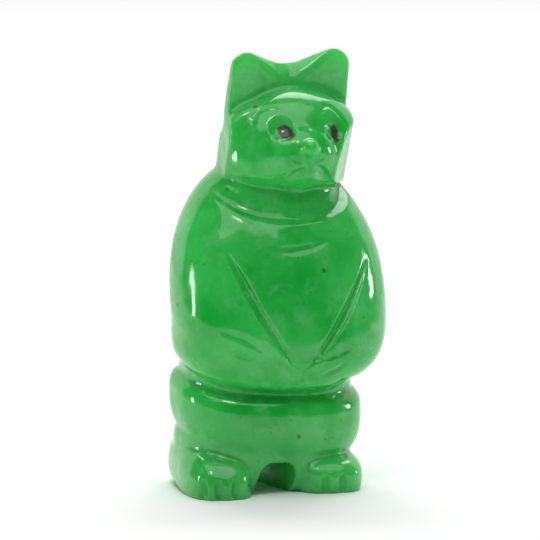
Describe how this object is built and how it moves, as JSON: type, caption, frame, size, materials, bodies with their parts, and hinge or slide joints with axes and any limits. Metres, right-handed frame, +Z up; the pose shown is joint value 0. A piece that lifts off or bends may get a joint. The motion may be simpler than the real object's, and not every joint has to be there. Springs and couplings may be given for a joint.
{
  "type": "bear figurine",
  "caption": "Small standing bear carved from one piece of polished green stone, with upright ears and its arms folded over a sunken triangular chest. It stands on its own feet.",
  "frame": {"origin": "middle of the bounding box of the figure, on the surface it stands on", "axes": "+Z up along the figure's height, -Y the way the face and belly look, +X the figure's own left, on the right-hand side of a viewer who faces it"},
  "size_m": [0.025, 0.0188, 0.0502],
  "materials": {
    "stone": "polished, slightly translucent green quartz with cloudy mottling and a few dark specks"
  },
  "bodies": {
    "root": {"bear": "stone"}
  },
  "joints": []
}
